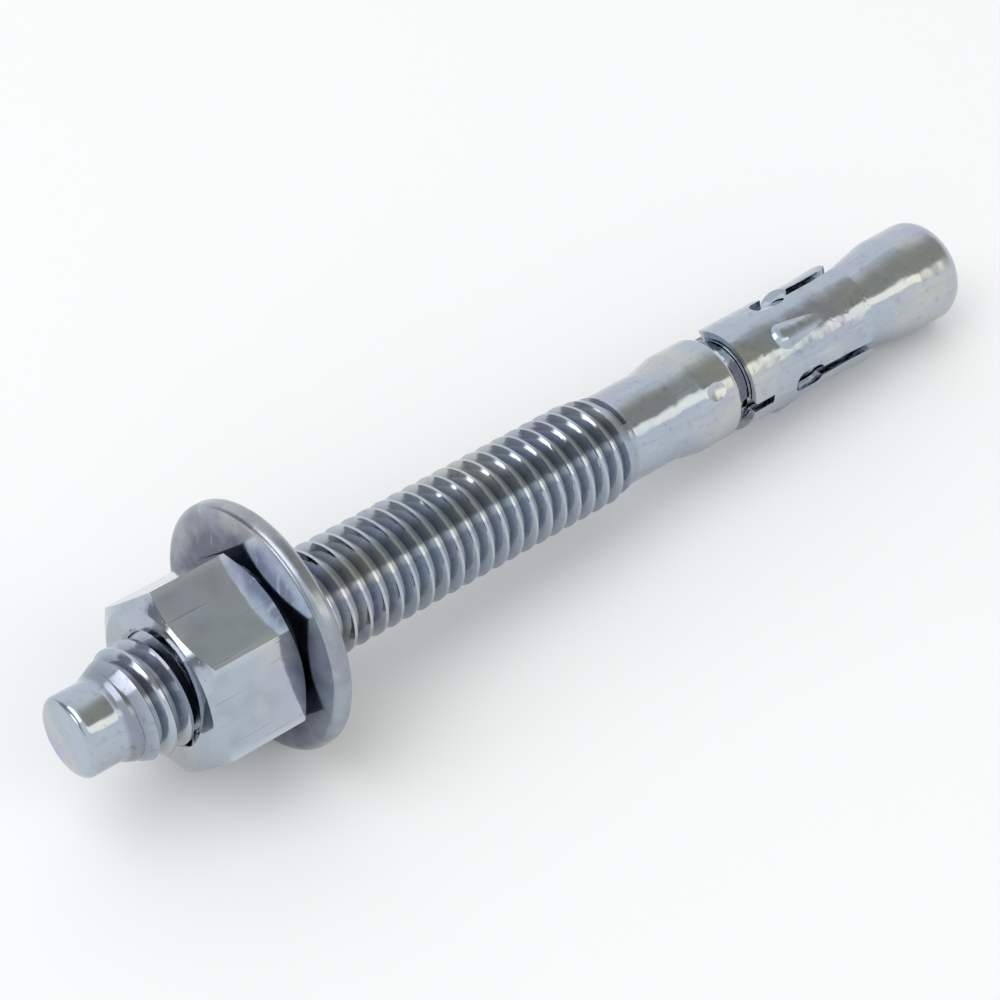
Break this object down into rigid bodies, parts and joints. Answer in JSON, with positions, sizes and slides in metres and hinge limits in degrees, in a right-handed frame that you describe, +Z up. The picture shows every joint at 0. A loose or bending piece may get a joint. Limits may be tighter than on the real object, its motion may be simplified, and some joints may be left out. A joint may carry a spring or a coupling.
{
  "type": "wedge anchor",
  "caption": "Threaded steel stud with a hex nut, a flat washer and a rolled expansion clip that its tapered end spreads inside a drilled hole in concrete.",
  "frame": {"origin": "on the floor under the middle of the object's box, where the anchor lies on its washer's rim and its cone's edge", "axes": "+X runs along the stud towards its cone, which lies 3.72 degrees lower than the threaded tip; +Z is up"},
  "size_m": [0.0954, 0.021, 0.021],
  "materials": {
    "stud_zinc": "bright zinc plating over cold-formed steel, rolled thread",
    "nut_zinc": "bright zinc plating over cold-formed steel, smooth flats",
    "washer_zinc": "bright zinc plating over stamped steel",
    "clip_zinc": "bright zinc plating over stamped sheet, dark sheared edges"
  },
  "bodies": {
    "stud": {"stud_bolt": "stud_zinc"},
    "washer": {"washer": "washer_zinc"},
    "nut": {"hex_nut": "nut_zinc"},
    "clip": {"expansion_clip": "clip_zinc"}
  },
  "joints": [
    {"name": "washer_slide", "type": "slide", "parent": "stud", "child": "washer", "axis": [0.9979, 0, -0.065], "range_m": [-0.00794, 0.03413]},
    {"name": "nut_spin", "type": "hinge", "parent": "washer", "child": "nut", "pos_m": [-0.03469, 0, 0.00995], "axis": [0.9979, 0, -0.065], "range_deg": [-1805, 7745]},
    {"name": "clip_slide", "type": "slide", "parent": "stud", "child": "clip", "axis": [0.9979, 0, -0.065], "range_m": [-0.00025, 0.0017]}
  ],
  "couplings": [
    {"joint": "nut_spin", "follows": "washer_slide", "rad_per_m": 3957.9}
  ]
}
